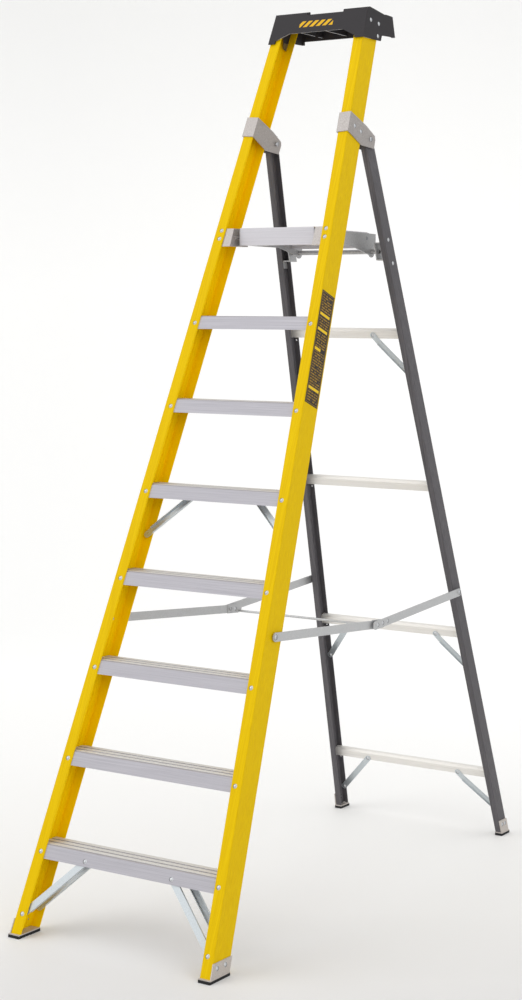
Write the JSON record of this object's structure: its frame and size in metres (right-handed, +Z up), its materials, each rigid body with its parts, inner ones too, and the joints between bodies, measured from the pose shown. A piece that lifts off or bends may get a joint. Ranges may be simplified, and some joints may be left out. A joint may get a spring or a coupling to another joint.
{
  "type": "platform step ladder",
  "caption": "Fibreglass platform step ladder with a yellow front frame, grey rear frame, aluminium treads, folding spreaders and a black tool-tray top.",
  "frame": {"origin": "on the floor, midway across the ladder and midway between the front face and the back face of the feet", "axes": "+X to the right seen from the treads, +Y from the treads to the rear legs, +Z up"},
  "size_m": [0.6514, 1.701, 2.543],
  "materials": {
    "yellow_fibreglass": "satin",
    "charcoal_fibreglass": "satin",
    "tread_aluminium": "satin",
    "bar_aluminium": "satin",
    "brace_aluminium": "satin",
    "zinc_steel": "satin",
    "rivet_steel": "satin",
    "cap_plastic": "matte",
    "foot_rubber": "matte",
    "label": "matte"
  },
  "bodies": {
    "front_frame": {"rail_left": "yellow_fibreglass", "rail_right": "yellow_fibreglass", "tread_1": "tread_aluminium", "tread_2": "tread_aluminium", "tread_3": "tread_aluminium", "tread_4": "tread_aluminium", "tread_5": "tread_aluminium", "tread_6": "tread_aluminium", "tread_7": "tread_aluminium", "front_frame_rivets": "rivet_steel", "top_cap": "cap_plastic", "hinge_bracket_left": "zinc_steel", "hinge_bracket_right": "zinc_steel", "hinge_pins": "rivet_steel", "platform_hook_left": "brace_aluminium", "platform_hook_right": "brace_aluminium", "lower_front_brace_left": "brace_aluminium", "lower_front_brace_right": "brace_aluminium", "lower_rear_brace_left": "brace_aluminium", "lower_rear_brace_right": "brace_aluminium", "upper_brace_left": "brace_aluminium", "upper_brace_right": "brace_aluminium", "front_shoe_left": "brace_aluminium", "front_shoe_right": "brace_aluminium", "front_pad_left": "foot_rubber", "front_pad_right": "foot_rubber", "rail_label": "label", "spreader_pins": "rivet_steel"},
    "rear_frame": {"rear_leg_left": "charcoal_fibreglass", "rear_leg_right": "charcoal_fibreglass", "rear_bar_1": "bar_aluminium", "rear_bar_2": "bar_aluminium", "rear_bar_3": "bar_aluminium", "rear_bar_4": "bar_aluminium", "rear_frame_rivets": "rivet_steel", "rear_brace_1_left": "brace_aluminium", "rear_brace_1_right": "brace_aluminium", "rear_brace_2_left": "brace_aluminium", "rear_brace_2_right": "brace_aluminium", "rear_brace_4_left": "brace_aluminium", "rear_brace_4_right": "brace_aluminium", "rear_shoe_left": "brace_aluminium", "rear_shoe_right": "brace_aluminium", "rear_pad_left": "foot_rubber", "rear_pad_right": "foot_rubber", "leg_bracket_left": "zinc_steel", "leg_bracket_right": "zinc_steel", "platform_tube": "zinc_steel", "hinge_bushes": "zinc_steel"},
    "platform": {"platform_deck": "tread_aluminium", "platform_side_left": "brace_aluminium", "platform_side_right": "brace_aluminium", "platform_rivets": "rivet_steel"},
    "spreader_front": {"spreader_front_left": "zinc_steel", "spreader_front_right": "zinc_steel", "spreader_rod": "zinc_steel", "spreader_studs": "rivet_steel"},
    "spreader_rear": {"spreader_rear_left": "zinc_steel", "spreader_rear_right": "zinc_steel", "spreader_rear_rivets": "rivet_steel"}
  },
  "joints": [
    {"name": "fold", "type": "hinge", "parent": "front_frame", "child": "rear_frame", "pos_m": [0, 0.14277, 2.157], "axis": [-1, 0, 0], "range_deg": [0, 36]},
    {"name": "platform_fold", "type": "hinge", "parent": "rear_frame", "child": "platform", "pos_m": [0, 0.24704, 1.838], "axis": [-1, 0, 0], "range_deg": [0, 72.6]},
    {"name": "spreader_front_fold", "type": "hinge", "parent": "front_frame", "child": "spreader_front", "pos_m": [0, -0.4854, 0.8067], "axis": [1, 0, 0], "range_deg": [0, 66.37]},
    {"name": "spreader_rear_fold", "type": "hinge", "parent": "rear_frame", "child": "spreader_rear", "pos_m": [0, 0.56663, 0.803], "axis": [-1, 0, 0], "range_deg": [0, 68.2]}
  ],
  "couplings": [
    {"joint": "platform_fold", "follows": "fold", "ratio": 2.0167},
    {"joint": "spreader_front_fold", "follows": "fold", "ratio": 1.8436},
    {"joint": "spreader_rear_fold", "follows": "fold", "ratio": 1.8946}
  ]
}
